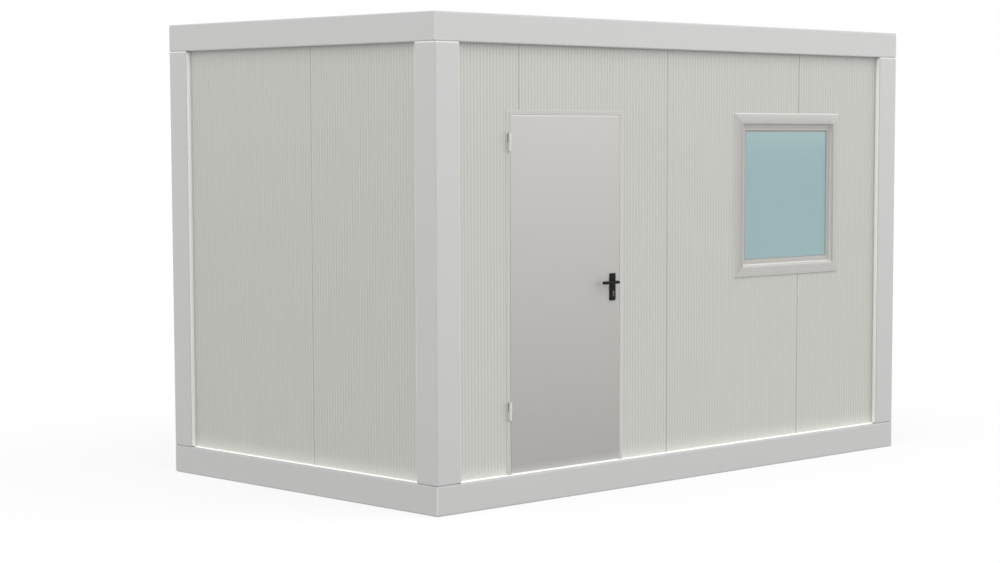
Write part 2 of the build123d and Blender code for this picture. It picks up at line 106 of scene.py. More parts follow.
class ContainerFittings(bpy.types.PropertyGroup):
    """Sizes of the small fittings."""

    bend_radius: length_property("Bend radius", "Outer radius of the frame's folded corners", 0.009)
    # Painted highlight: the bead at a ring's corner is a lighter copy of the frame paint, standing for light on
    # the rounded corner.
    corner_bead_width: length_property("Seam width", "Width of the welded seam at a ring's corner", 0.006)
    gasket_width: length_property("Gasket width", "Visible width of the glazing gasket", 0.004)
    glass_rebate: length_property("Glass rebate", "How far the pane reaches into the sash", 0.012)
    seal_width: length_property("Seal width", "Width of the rubber seal on the door stop", 0.010)
    seal_height: length_property("Seal height", "Height of the rubber seal on the door stop", 0.005)
    screw_radius: length_property("Screw radius", "Radius of a countersunk screw head", 0.0036)
    roof_screw_radius: length_property("Roof screw radius", "Radius of a roof screw's washer", 0.0095)
    groove_seal_width: length_property("Groove seal width", "Width of the pale seal round the leaf", 0.0068)
    groove_depth: length_property("Groove depth", "Depth of the pale seal behind the leaf's face", 0.0010)
    rib_pitch: length_property("Rib pitch", "Distance from rib to rib of a wall panel", 0.024)
    joint_seal_width: length_property("Joint seal width", "Width of the cord in a panel joint", 0.0072)
    joint_seal_depth: length_property("Joint seal depth", "Depth of the cord behind the ribs", 0.0030)
    bead_width: length_property("Bead width", "Width of the bead between trim and sash", 0.008)
    edge_bead: length_property("Edge bead", "Width of the bead round door frame and trim", 0.006)
    sweep_height: length_property("Sweep height", "Height of the strip below the door leaf", 0.0045)
    foot_seal_width: length_property("Foot seal width", "Width of the fillet at a wall's foot", 0.012)
    foot_seal_height: length_property("Foot seal height", "Height of the fillet at a wall's foot", 0.006)
    head_seal_height: length_property("Head seal height", "Height of the seal on a post's head", 0.0045)
    edge_strip_width: length_property("Edge strip width", "Width of the strip on a post's return", 0.0255)
    door_flange: length_property("Door flange", "Width of the door frame's outer flange", 0.014)
    leaf_rebate: length_property("Leaf rebate", "How far the leaf's lip laps over the step", 0.018)
    leaf_lip: length_property("Leaf lip", "Thickness of the leaf's lip", 0.006)
    # Painted highlight: the leaf's paint is made lighter in this band along its head.
    leaf_highlight_band: length_property("Leaf rim", "Height of the pale rim along the leaf's head", 0.008)
    stop_width: length_property("Stop width", "Width of the stop behind the leaf", 0.016)
    stop_gap: length_property("Stop gap", "Room between the leaf and its stop", 0.006)
    lock_plate: length_property("Lock plate", "Thickness of the lock's plates", 0.0015)
    sill_sheet: length_property("Sill sheet", "Thickness of the door sill's sheet", 0.0012)
    sill_height: length_property("Sill height", "Height of the door sill with its ribs", 0.0028)
    sill_ribs: bpy.props.IntProperty(name="Sill ribs", description="Grip ribs on the sill", default=7, min=1)


class ContainerStudio(bpy.types.PropertyGroup):
    """Camera and light of the studio."""

    camera_place: bpy.props.FloatVectorProperty(
        name="Camera place",
        description="Where the camera stands",
        default=(-10.151, -10.3762, 2.0603),
        subtype="TRANSLATION",
        unit="LENGTH",
    )
    camera_yaw: bpy.props.FloatProperty(
        name="Camera yaw",
        description="Heading of the camera from +Y towards +X",
        default=math.radians(45.0721),
        subtype="ANGLE",
    )
    camera_pitch: bpy.props.FloatProperty(
        name="Camera pitch",
        description="Tilt of the camera above the horizon",
        default=math.radians(-5.1824),
        subtype="ANGLE",
    )
    camera_lens: bpy.props.FloatProperty(
        name="Lens", description="Focal length of the camera", default=83.03, min=1.0, subtype="DISTANCE_CAMERA"
    )
    shift_across: bpy.props.FloatProperty(
        name="Shift across", description="Sideways shift of the picture", default=-0.07545
    )
    shift_up: bpy.props.FloatProperty(name="Shift up", description="Upward shift of the picture", default=0.06)
    sky_strength: strength_property("Sky strength", "Brightness of the surroundings overhead", 0.70)
    ground_strength: strength_property("Ground strength", "Brightness of the light from below", 0.5)
    floor_glow: strength_property("Floor glow", "Light that the white floor gives off by itself", 0.755)
    key_strength: strength_property("Key strength", "Strength of the soft light from the right", 1.57)
    fill_strength: strength_property("Fill strength", "Strength of the soft light from the left", 0.82)
    top_strength: strength_property("Top strength", "Strength of the soft light from high in front", 1.1)


# Finishes


def add_node(tree, kind, output, inputs, **settings):
    """Add a shader node, feed its inputs with values or other outputs, and return one of its own outputs."""
    node = tree.nodes.new(f"ShaderNode{kind}")
    for name, value in settings.items():
        setattr(node, name, value)
    for socket, value in inputs.items():
        feed(tree, node.inputs[socket], value)
    return node.outputs[output]


def feed(tree, socket, value):
    """Link a socket to another node's output, or set it to a plain value."""
    if isinstance(value, bpy.types.NodeSocket):
        tree.links.new(value, socket)
    else:
        socket.default_value = value


def new_finish(name, roughness, metallic=0.0):
    """Return a new material with its node tree, its surface and its object coordinates."""
    material = bpy.data.materials.new(name)
    material.use_nodes = True
    tree = material.node_tree
    surface = tree.nodes["Principled BSDF"]
    surface.inputs["Roughness"].default_value = roughness
    surface.inputs["Metallic"].default_value = metallic
    return material, tree, surface, add_node(tree, "TexCoord", "Object", {})


def stretched(tree, place, scale):
    """Return coordinates stretched along the axes."""
    return add_node(tree, "Mapping", "Vector", {"Vector": place, "Scale": scale})


def noise(tree, place, scale, detail):
    """Return a cloudy pattern."""
    return add_node(tree, "TexNoise", "Fac", {"Vector": place, "Scale": scale, "Detail": detail})


def cells(tree, place, scale):
    """Return the random value of each cell of a crystal-like pattern."""
    colour = add_node(tree, "TexVoronoi", "Color", {"Vector": place, "Scale": scale})
    return add_node(tree, "SeparateColor", "Red", {"Color": colour})


def ranged(tree, value, low, high, new_low, new_high):
    """Return a value mapped from one range to another and held inside it."""
    ends = {"From Min": low, "From Max": high, "To Min": new_low, "To Max": new_high}
    return add_node(tree, "MapRange", "Result", {"Value": value, **ends})


def cloudy(tree, place, scale, detail, low, high):
    """Return a cloudy pattern that runs from one value to another."""
    return ranged(tree, noise(tree, place, scale, detail), 0.3, 0.7, low, high)


def worked(tree, operation, first, second=0.0):
    """Return the result of one sum with two values, each a plain number or another node's output."""
    return add_node(tree, "Math", "Value", {0: first, 1: second}, operation=operation)


def product(tree, first, second):
    """Return two values multiplied."""
    return worked(tree, "MULTIPLY", first, second)


def along_axis(tree, place, axis):
    """Return one coordinate of a place."""
    return add_node(tree, "SeparateXYZ", axis, {"Vector": place})


def height_fade(tree, place, low, high):
    """Return 1 at and below the low level and 0 at and above the high one."""
    return ranged(tree, along_axis(tree, place, "Z"), low, high, 1.0, 0.0)


def rib_valleys(tree, along, joints, pitch):
    """Return 1 in the valleys between ribs and 0 on their crests, the ribs set out anew from each joint."""
    past = worked(tree, "SUBTRACT", along, joints[0])
    for first, second in zip(joints, joints[1:]):
        step = product(tree, worked(tree, "GREATER_THAN", along, second), second - first)
        past = worked(tree, "SUBTRACT", past, step)
    wave = worked(tree, "PINGPONG", past, pitch / 2)
    return ranged(tree, wave, pitch / 6, pitch / 3, 1.0, 0.0)


def shade(colour, share):
    """Return a colour made darker or lighter by a share."""
    return tuple(min(channel * share, 1.0) for channel in colour)


def blended(tree, factor, first, second):
    """Return a colour between two, each a plain colour or another node's output."""
    node = tree.nodes.new("ShaderNodeMix")
    node.data_type = "RGBA"
    tree.links.new(factor, node.inputs["Factor"])
    colours = [socket for socket in node.inputs if socket.type == "RGBA"]
    for socket, value in zip(colours, (first, second)):
        feed(tree, socket, value if isinstance(value, bpy.types.NodeSocket) else (*value, 1.0))
    return next(socket for socket in node.outputs if socket.type == "RGBA")


def toned(tree, factor, colour, dark, light):
    """Return a colour that runs from a darker share of itself to a lighter one."""
    return blended(tree, factor, shade(colour, dark), shade(colour, light))


def scaled(tree, factor, colour, share):
    """Return a colour that turns to a share of itself where the factor is 1."""
    scale = ranged(tree, factor, 0.0, 1.0, 1.0, share)
    return add_node(tree, "VectorMath", "Vector", {0: colour, "Scale": scale}, operation="SCALE")


def coat(tree, surface, base, gloss, relief, depth):
    """Give the surface its colour, its roughness and the relief of a pattern, by its depth in metres."""
    normal = add_node(tree, "Bump", "Normal", {"Height": relief, "Distance": depth, "Strength": 1.0})
    for name, value in (("Base Color", base), ("Roughness", gloss), ("Normal", normal)):
        if value is not None:
            tree.links.new(value, surface.inputs[name])


def satin_paint(name, colour, roughness, shade_from, shade_to, shade_share, foot_glow_share=1.0, rim=None):
    """Sprayed satin paint: fine orange peel, slow shifts of tone, painted shade towards the ground, a painted
    glow at the foot and a painted highlight above a rim level.
    """
    material, tree, surface, place = new_finish(name, roughness)
    tone = toned(tree, noise(tree, place, 1.7, 4.0), colour, 0.985, 1.015)
    # Painted shade: the paint turns darker towards the ground by the shade share, with a fine speckle.
    ground_shade = height_fade(tree, place, shade_from, shade_to)
    grain = cloudy(tree, place, 260.0, 2.0, 0.9, 1.0)
    base = blended(tree, product(tree, ground_shade, grain), tone, shade(colour, shade_share))
    # Painted light: the paint is scaled by the foot glow share in the lowest 60 mm of the shaded span.
    foot = height_fade(tree, place, shade_from, shade_from + 0.06)
    base = scaled(tree, product(tree, foot, foot), base, foot_glow_share)
    # Painted highlight: above the rim level the paint is scaled by its share.
    if rim:
        level, share = rim
        height = along_axis(tree, place, "Z")
        base = scaled(tree, ranged(tree, height, level - 0.002, level, 0.0, 1.0), base, share)
    gloss = cloudy(tree, place, 9.0, 5.0, roughness - 0.05, roughness + 0.07)
    coat(tree, surface, base, gloss, noise(tree, place, 420.0, 2.0), 0.00012)
    return material


def coil_coating(name, colour, roughness):
    """Factory-coated thin sheet: leather-fine grain, faint waves along the sheet, slow shifts of tone and
    painted shade towards the ground.
    """
    material, tree, surface, place = new_finish(name, roughness)
    streaks = noise(tree, stretched(tree, place, (14.0, 14.0, 0.35)), 1.0, 3.0)
    clouds = ranged(tree, noise(tree, place, 0.9, 3.0), 0.35, 0.65, 0.0, 0.5)
    base = blended(tree, clouds, toned(tree, streaks, colour, 0.995, 1.005), shade(colour, 0.985))
    # Painted shade: darker towards the ground, up to 2.6 m.
    base = blended(tree, height_fade(tree, place, 0.1, 2.6), base, shade(colour, 0.93))
    gloss = cloudy(tree, place, 30.0, 4.0, roughness - 0.06, roughness + 0.06)
    coat(tree, surface, base, gloss, noise(tree, place, 900.0, 2.0), 0.00008)
    return material, tree, surface, place


def ribbed_coating(name, colour, axis, sign, joints, skin, pitch, low_shade_share):
    """Coil coating on a ribbed wall: painted shade in the valleys and towards the ground, a painted shadow
    below the roof and a painted glow at the foot.
    """
    material, tree, surface, place = coil_coating(name, colour, 0.5)
    base = surface.inputs["Base Color"].links[0].from_socket
    along = product(tree, along_axis(tree, place, axis), sign)
    depth = worked(tree, "ABSOLUTE", along_axis(tree, place, "Y" if axis == "X" else "X"))
    outside = ranged(tree, depth, skin - 0.012, skin - 0.010, 0.0, 1.0)
    valleys = product(tree, outside, rib_valleys(tree, along, joints, pitch))
    # Painted shade: the outer face turns darker towards the ground by the low shade share.
    low = product(tree, outside, height_fade(tree, place, 0.2, 2.6))
    base = blended(tree, low, base, shade(colour, low_shade_share))
    # Painted shade: the rib valleys are darker.
    base = scaled(tree, product(tree, valleys, cloudy(tree, place, 3.0, 3.0, 0.85, 1.0)), base, 0.88)
    # Painted shadow: darker under the roof beam.
    head = ranged(tree, along_axis(tree, place, "Z"), 2.42, 2.54, 0.0, 1.0)
    base = scaled(tree, product(tree, product(tree, head, head), outside), base, 0.86)
    # Painted light: paler at the foot of the wall.
    foot = height_fade(tree, place, 0.165, 0.27)
    base = blended(tree, product(tree, product(tree, foot, foot), outside), base, shade(colour, 1.22))
    tree.links.new(base, surface.inputs["Base Color"])
    return material


def galvanised_steel(name):
    """Hot-dip galvanised sheet with its crystal spangle."""
    material, tree, surface, place = new_finish(name, 0.42, 0.85)
    spangle = cells(tree, place, 70.0)
    tone = blended(tree, spangle, (0.36, 0.375, 0.38), (0.52, 0.535, 0.54))
    gloss = ranged(tree, spangle, 0.0, 1.0, 0.32, 0.55)
    coat(tree, surface, tone, gloss, noise(tree, place, 150.0, 3.0), 0.0001)
    return material


def particle_board(name):
    """Pressed board of wood chips."""
    material, tree, surface, place = new_finish(name, 0.8)
    chips = cells(tree, stretched(tree, place, (60.0, 160.0, 160.0)), 1.0)
    coat(tree, surface, blended(tree, chips, (0.30, 0.19, 0.09), (0.52, 0.37, 0.20)), None, chips, 0.0003)
    return material


def speckled_vinyl(name, colour):
    """Matt floor covering with a fine speckle and faint scuffs."""
    material, tree, surface, place = new_finish(name, 0.55)
    tone = toned(tree, cells(tree, place, 320.0), colour, 0.82, 1.2)
    smears = noise(tree, stretched(tree, place, (2.0, 5.0, 1.0)), 2.0, 6.0)
    scuffs = ranged(tree, smears, 0.55, 0.75, 0.0, 0.35)
    base = blended(tree, scuffs, tone, shade(colour, 0.75))
    gloss = ranged(tree, scuffs, 0.0, 0.35, 0.5, 0.68)
    coat(tree, surface, base, gloss, noise(tree, place, 700.0, 2.0), 0.0001)
    return material


def window_plastic(name, colour):
    """Smooth extruded plastic with faint draw lines and a soft gloss."""
    material, tree, surface, place = new_finish(name, 0.38)
    tone = toned(tree, noise(tree, place, 6.0, 3.0), colour, 0.985, 1.015)
    gloss = cloudy(tree, place, 40.0, 4.0, 0.33, 0.43)
    coat(tree, surface, tone, gloss, noise(tree, place, 600.0, 1.0), 0.00004)
    return material, tree, surface, place


def trim_plastic(name, colour, middle, inner, outer):
    """Window plastic of the trim: painted shade towards the sash, weaker on the right bar, and painted light
    that makes the lower bar lighter.
    """
    material, tree, surface, place = window_plastic(name, colour)
    base = surface.inputs["Base Color"].links[0].from_socket
    sideways = along_axis(tree, place, "X")
    across = worked(tree, "ABSOLUTE", worked(tree, "SUBTRACT", sideways, middle.x))
    up = worked(tree, "SUBTRACT", along_axis(tree, place, "Z"), middle.z)
    lower = worked(tree, "LESS_THAN", up, product(tree, across, -1.0))
    upper = worked(tree, "ABSOLUTE", worked(tree, "SUBTRACT", lower, 1.0))
    # Painted shade: darker towards the sash on all but the lower bar, with less of it on the right bar.
    near = ranged(tree, worked(tree, "MAXIMUM", across, up), inner, outer - 0.008, 1.0, 0.0)
    shade_weight_across = ranged(tree, sideways, middle.x + inner - 0.02, middle.x + inner, 1.0, 0.3)
    base = scaled(tree, product(tree, product(tree, near, upper), shade_weight_across), base, 0.76)
    # Painted light: the lower bar is made lighter.
    base = scaled(tree, lower, base, 1.10)
    tree.links.new(base, surface.inputs["Base Color"])
    return material


def tinted_pane(name, colour):
    """Tinted insulating glass: a smooth polished face over a tint that shifts slightly across the pane."""
    material, tree, surface, place = new_finish(name, 0.06)
    surface.inputs["IOR"].default_value = 1.5
    surface.inputs["Transmission Weight"].default_value = 0.12
    tone = toned(tree, noise(tree, place, 0.8, 2.0), colour, 0.98, 1.02)
    haze = cloudy(tree, place, 25.0, 4.0, 0.05, 0.09)
    coat(tree, surface, tone, haze, noise(tree, place, 2.5, 1.0), 0.0001)
    return material


def moulded_plastic(name, colour, roughness, shine=0.3, spread=0.25):
    """Moulded plastic with a fine sparked grain."""
    material, tree, surface, place = new_finish(name, roughness)
    surface.inputs["Specular IOR Level"].default_value = shine
    tone = toned(tree, noise(tree, place, 60.0, 3.0), colour, 1.0 - spread, 1.0 + spread)
    gloss = cloudy(tree, place, 220.0, 3.0, roughness - 0.06, roughness + 0.08)
    coat(tree, surface, tone, gloss, noise(tree, place, 1500.0, 2.0), 0.00005)
    return material


def brushed_metal(name, colour, roughness, direction):
    """Bare metal with fine brushing along one direction."""
    material, tree, surface, place = new_finish(name, roughness, 1.0)
    brushing = noise(tree, stretched(tree, place, direction), 1.0, 4.0)
    gloss = ranged(tree, brushing, 0.3, 0.7, roughness - 0.08, roughness + 0.1)
    coat(tree, surface, toned(tree, brushing, colour, 0.88, 1.1), gloss, brushing, 0.00004)
    return material


def paint(material, *names):
    """Give CAD nodes their finish."""
    for name in names:
        mesh = frame["nodes"][name].data
        mesh.materials.clear()
        mesh.materials.append(material)


def nodes_like(*starts):
    """Return the names of the CAD nodes that begin with one of some words."""
    return sorted(name for name in frame["nodes"] if name.startswith(starts))


# Small fittings

BITE = 0.0003  # how far most fittings sink into what carries them
SQUARE = ((-1, -1), (-1, 1), (1, 1), (1, -1))


def finished_mesh(name, build):
    """Return the mesh of what is built, with its doubles merged and its faces outward."""
    bmesh.ops.remove_doubles(build, verts=build.verts, dist=1e-6)
    bmesh.ops.recalc_face_normals(build, faces=build.faces)
    mesh = bpy.data.meshes.new(name)
    build.to_mesh(mesh)
    build.free()
    return mesh


def add_piece(name, build, material, body):
    """Make a mesh piece from a bmesh and let it ride on a body."""
    return place_mesh(name, finished_mesh(name, build), material, body)


def place_mesh(name, mesh, material, body):
    """Link a finished mesh as a piece that rides on a body."""
    mesh.materials.clear()
    mesh.materials.append(material)
    mesh.shade_smooth()
    mesh.set_sharp_from_angle(angle=math.radians(35))
    piece = bpy.data.objects.new(name, mesh)
    bpy.context.scene.collection.objects.link(piece)
    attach(piece, body)
    return piece


def join_rings(build, first, second):
    """Join two rings of as many corners by a band of faces."""
    for number in range(len(first)):
        after = (number + 1) % len(first)
        build.faces.new((first[number], first[after], second[after], second[number]))


def loft(build, rings, closed=False):
    """Skin rings of points in turn, and cap the ends unless the last ring meets the first."""
    rows = [[build.verts.new(point) for point in ring] for ring in rings]
    for first, second in zip(rows, rows[1:]):
        join_rings(build, first, second)
    if closed:
        join_rings(build, rows[-1], rows[0])
    else:
        build.faces.new(rows[0])
        build.faces.new(list(reversed(rows[-1])))


def profile_run(build, stations, profile, closed=False):
    """Draw a profile along stations, each an (x, z) place with its inward (x, z) direction."""
    rings = [[(x + turn_x * a, y, z + turn_z * a) for a, y in profile] for x, z, turn_x, turn_z in stations]
    loft(build, rings, closed)


def add_run(name, stations, profile, material, closed=False):
    """Make a piece of the building that is one profile run."""
    build = bmesh.new()
    profile_run(build, stations, profile, closed)
    return add_piece(name, build, material, "root")


def square_run(middle, half):
    """Return the stations of a square round a middle."""
    return [(middle.x + a * half, middle.z + b * half, -a, -b) for a, b in SQUARE]


def half_round(start, end, base, rise, steps):
    """Return a profile that swells from a base level between two places."""
    points = []
    for number in range(steps + 1):
        angle = math.pi * number / steps
        across = (start + end) / 2 - (end - start) / 2 * math.cos(angle)
        points.append((across, base + rise * math.sin(angle)))
    return points


def plate_with_holes(build, face, across, along, holes, thickness):
    """Add a plate on a face across X, made of rectangular cells of which some are open."""
    grid = [[build.verts.new((face, a, b)) for b in along] for a in across]
    made = []
    for a in range(len(across) - 1):
        for b in range(len(along) - 1):
            if (a, b) not in holes:
                corners = (grid[a][b], grid[a + 1][b], grid[a + 1][b + 1], grid[a][b + 1])
                made.append(build.faces.new(corners))
    lifted = bmesh.ops.extrude_face_region(build, geom=made)
    moved = [item for item in lifted["geom"] if isinstance(item, bmesh.types.BMVert)]
    bmesh.ops.translate(build, verts=moved, vec=(thickness, 0, 0))
    loose = [vert for vert in build.verts if not vert.link_faces]
    bmesh.ops.delete(build, geom=loose, context="VERTS")


def add_box(build, first, second):
    """Add a box between two opposite corners."""
    size = [abs(b - a) for a, b in zip(first, second)]
    middle = [(a + b) / 2 for a, b in zip(first, second)]
    made = bmesh.ops.create_cube(build, size=1.0)
    bmesh.ops.scale(build, vec=size, verts=made["verts"])
    bmesh.ops.translate(build, vec=middle, verts=made["verts"])
    return made["verts"]


def soften(build, offset):
    """Round all edges of what is built so far by a small bevel."""
    bmesh.ops.bevel(build, geom=build.edges[:], offset=offset, segments=2, profile=0.5, affect="EDGES")


def revolved(build, outline, sides, place):
    """Turn an outline of (radius, height) pairs about an axis, with closed poles, and return its rings."""
    rings = []
    for radius, height in outline:
        ring = []
        for number in range(sides if radius else 1):
            angle = 2 * math.pi * number / sides
            spot = Vector((radius * math.cos(angle), radius * math.sin(angle), height))
            ring.append(build.verts.new(place @ spot))
        rings.append(ring)
    for first, second in zip(rings, rings[1:]):
        if len(first) == len(second):
            join_rings(build, first, second)
            continue
        pole, ring = (first[0], second) if len(first) == 1 else (second[0], first)
        for number in range(sides):
            build.faces.new((pole, ring[number], ring[(number + 1) % sides]))
    return rings


def screw_head(radius):
    """Return a countersunk screw head with a hexagon socket, its axis along +Z."""
    build = bmesh.new()
    sides, socket, top = 12, radius * 0.5, 0.0006
    outline = [(0, -0.0004), (radius, -0.0004), (radius, 0.0001), (radius * 0.9, 0.0004), (radius * 0.62, top)]
    rings = [revolved(build, outline, sides, Matrix())[-1]]
    for level in (top, -0.0002):
        ring = []
        for number in range(sides):
            angle = 2 * math.pi * number / sides
            reach = socket if number % 2 == 0 else socket * math.cos(math.pi / 6)
            ring.append(build.verts.new((reach * math.cos(angle), reach * math.sin(angle), level)))
        join_rings(build, rings[-1], ring)
        rings.append(ring)
    build.faces.new(rings[-1])
    return bpy.data.objects.new("screw_head", finished_mesh("screw_head", build))


def roof_screw(radius):
    """Return a hexagon roof screw on its domed sealing washer, its axis along +Z."""
    build = bmesh.new()
    washer = [(0, -0.0003), (radius, -0.0003), (radius, 0.0012), (radius * 0.7, 0.0024), (0, 0.0026)]
    revolved(build, washer, 16, Matrix())
    head = [(0, 0.002), (radius * 0.46, 0.002), (radius * 0.46, 0.0068), (radius * 0.38, 0.0078), (0, 0.008)]
    revolved(build, head, 6, Matrix())
    return bpy.data.objects.new("roof_screw", finished_mesh("roof_screw", build))


def fixing_tree(material):
    """Return a tree that sets one fixing at each point of a mesh, turned along the point's own axis."""
    tree = bpy.data.node_groups.new("fixings_on_points", "GeometryNodeTree")
    tree.interface.new_socket("Points", in_out="INPUT", socket_type="NodeSocketGeometry")
    tree.interface.new_socket("Fixing", in_out="INPUT", socket_type="NodeSocketObject")
    size = tree.interface.new_socket("Size", in_out="INPUT", socket_type="NodeSocketFloat")
    size.default_value = 1.0
    tree.interface.new_socket("Fixings", in_out="OUTPUT", socket_type="NodeSocketGeometry")
    nodes = tree.nodes
    start, end = nodes.new("NodeGroupInput"), nodes.new("NodeGroupOutput")
    fixing = nodes.new("GeometryNodeObjectInfo")
    axis = nodes.new("GeometryNodeInputNamedAttribute")
    axis.data_type = "FLOAT_VECTOR"
    axis.inputs["Name"].default_value = "fixing_axis"
    turn = nodes.new("FunctionNodeAlignRotationToVector")
    turn.axis = "Z"
    spread = nodes.new("GeometryNodeInstanceOnPoints")
    real = nodes.new("GeometryNodeRealizeInstances")
    finish = nodes.new("GeometryNodeSetMaterial")
    finish.inputs["Material"].default_value = material
    for first, output, second, entry in (
        (start, "Fixing", fixing, "Object"),
        (start, "Points", spread, "Points"),
        (fixing, "Geometry", spread, "Instance"),
        (axis, "Attribute", turn, "Vector"),
        (turn, "Rotation", spread, "Rotation"),
        (start, "Size", spread, "Scale"),
        (spread, "Instances", real, "Geometry"),
        (real, "Geometry", finish, "Geometry"),
        (finish, "Geometry", end, "Fixings"),
    ):
        tree.links.new(first.outputs[output], second.inputs[entry])
    return tree


def set_fixings(name, tree, fixing, places, material, body):
    """Set fixings at (place, axis) pairs and keep them as one plain mesh on a body."""
    mesh = bpy.data.meshes.new(f"{name}_points")
    mesh.from_pydata([place for place, _ in places], [], [])
    axes = mesh.attributes.new("fixing_axis", "FLOAT_VECTOR", "POINT")
    for number, (_, axis) in enumerate(places):
        axes.data[number].vector = axis
    carrier = bpy.data.objects.new(f"{name}_points", mesh)
    bpy.context.scene.collection.objects.link(carrier)
    modifier = carrier.modifiers.new("Fixings", "NODES")
    modifier.node_group = tree
    values = {"Fixing": fixing, "Size": 1.0}
    for item in tree.interface.items_tree:
        if item.in_out == "INPUT" and item.name in values:
            modifier[item.identifier] = values[item.name]
    graph = bpy.context.evaluated_depsgraph_get()
    made = bpy.data.meshes.new_from_object(carrier.evaluated_get(graph))
    carrier.modifiers.remove(modifier)
    bpy.data.objects.remove(carrier)
    made.name = name
    return place_mesh(name, made, material, body)


def middle_of(node):
    """Return the middle of a CAD node's box."""
    low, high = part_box(node)
    return (low + high) / 2


def panel_joints():
    """Return the joints along the front wall and the joint of the end walls."""
    gap = 0.0003
    along = [-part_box(f"back_panel_{number}")[1].x - gap for number in (2, 3, 4)]
    return along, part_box("left_panel_2")[1].y + gap


def lock_places(fittings):
    """Return the lever's spindle, the middle of the leaf's thickness, the leaf's edge and the jamb's face."""
    leaf_low, leaf_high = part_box("door_leaf")
    middle = (leaf_low.y + fittings.leaf_lip + leaf_high.y) / 2
    edge = leaf_high.x - fittings.leaf_rebate
    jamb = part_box("door_jamb_lock_side")[1].x - fittings.door_flange - fittings.leaf_rebate
    return Vector(frame["joints"][1]["pos_m"]), middle, edge, jamb


# Operators


class ContainerOperator:
    """What the operators share."""

    bl_options = {"REGISTER", "UNDO"}

    def execute(self, context):
        scene = context.scene
        self.make(scene.container_finish, scene.container_fittings, scene.container_studio)
        return {"FINISHED"}


class CONTAINER_OT_frame(ContainerOperator, bpy.types.Operator):
    """Paint the folded steel frame with painted shade towards the ground, and set pale beads at its rings'
    corners as a painted highlight
    """

    bl_idname = "container.frame"
    bl_label = "Steel frame"

    def make(self, finish, fittings, studio):
        # Painted shade: the frame paint darkens towards the ground.
        steel = satin_paint("frame_satin_paint", finish.frame_paint, 0.42, 0.0, 2.7, 0.875)
        paint(steel, *nodes_like("base_beam", "roof_beam", "corner_post"))
        # Painted highlight: the corner beads take a lighter copy of the frame paint.
        seam = satin_paint("corner_highlight_paint", shade(finish.frame_paint, 1.3), 0.35, 0.0, 0.2, 0.95)
        half, bend = fittings.corner_bead_width / 2, fittings.bend_radius
        profile = half_round(-half, half, -0.0006, 0.0016, 6)
        build = bmesh.new()
        for beam in ("base_beam_left", "roof_beam_left"):
            low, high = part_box(beam)
            for side in SQUARE:
                out = Vector((*side, 0)).normalized()
                along = Vector((-out.y, out.x, 0))
                corner = Vector([sign * (edge - bend) for sign, edge in zip(side, cad_high)] + [0])
                spots = [corner + out * (bend + rise) + along * across for across, rise in profile]
                loft(build, [[(*spot.xy, level) for spot in spots] for level in (low.z + bend, high.z - bend)])
        add_piece("ring_corner_seams", build, seam, "root")


class CONTAINER_OT_panels(ContainerOperator, bpy.types.Operator):
    """Coat the wall and roof panels"""

    bl_idname = "container.panels"
    bl_label = "Wall and roof panels"

    def make(self, finish, fittings, studio):
        long_joints, end_joint = panel_joints()
        skin, reach = -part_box("front_panel_1")[0].y, -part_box("left_panel_1")[0].x
        front = ("front_panel", "over_", "under_window")
        # Painted shade: the sixth value of each wall darkens it towards the ground, more on the end walls.
        walls = (
            ("front_coil_coating", "X", 1.0, long_joints, skin, 0.955, front),
            ("back_coil_coating", "X", -1.0, long_joints, skin, 0.955, ("back_panel",)),
            ("end_coil_coating", "Y", 1.0, [end_joint], reach, 0.92, ("left_panel", "right_panel")),
        )
        for name, axis, sign, joints, depth, low_shade_share, starts in walls:
            colour, pitch = finish.panel_paint, fittings.rib_pitch
            coating = ribbed_coating(name, colour, axis, sign, joints, depth, pitch, low_shade_share)
            paint(coating, *nodes_like(*starts))
        paint(coil_coating("roof_coil_coating", finish.roof_paint, 0.48)[0], *nodes_like("roof_panel"))


class CONTAINER_OT_floor(ContainerOperator, bpy.types.Operator):
    """Finish the floor, from its joists to its covering"""

    bl_idname = "container.floor"
    bl_label = "Floor"

    def make(self, finish, fittings, studio):
        paint(galvanised_steel("galvanised_steel"), "floor_joists", "underfloor_sheet")
        paint(particle_board("pressed_board"), "floor_deck")
        paint(speckled_vinyl("speckled_vinyl", finish.vinyl), "floor_covering")


class CONTAINER_OT_door(ContainerOperator, bpy.types.Operator):
    """Finish the door, its frame, hinges and handle"""

    bl_idname = "container.door"
    bl_label = "Door"

    def make(self, finish, fittings, studio):
        # Painted shade towards the ground, a painted glow at the foot and a painted highlight along the head of
        # the leaf.
        rim = (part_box("door_leaf")[1].z - fittings.leaf_highlight_band, 1.2)
        leaf = satin_paint("door_satin_paint", finish.door_paint, 0.45, 0.17, 2.16, 0.63, 1.45, rim)
        paint(leaf, "door_leaf")
        # Painted shade: the door frame takes a darker copy of the door paint, darker still near the ground.
        edge = satin_paint("door_frame_paint", shade(finish.door_paint, 0.95), 0.42, 0.0, 0.4, 0.95)
        paint(edge, *nodes_like("door_jamb", "door_head"))
        paint(satin_paint("hinge_paint", finish.hinge_paint, 0.35, 0.0, 0.2, 0.95), *nodes_like("hinge_"))
        black = moulded_plastic("handle_black_plastic", finish.handle_plastic, 0.36, 0.1)
        paint(black, "handle_plates", "door_levers")
        nickel = brushed_metal("lock_nickel", finish.lock_nickel, 0.34, (900.0, 60.0, 900.0))
        paint(nickel, "lock_cylinder")


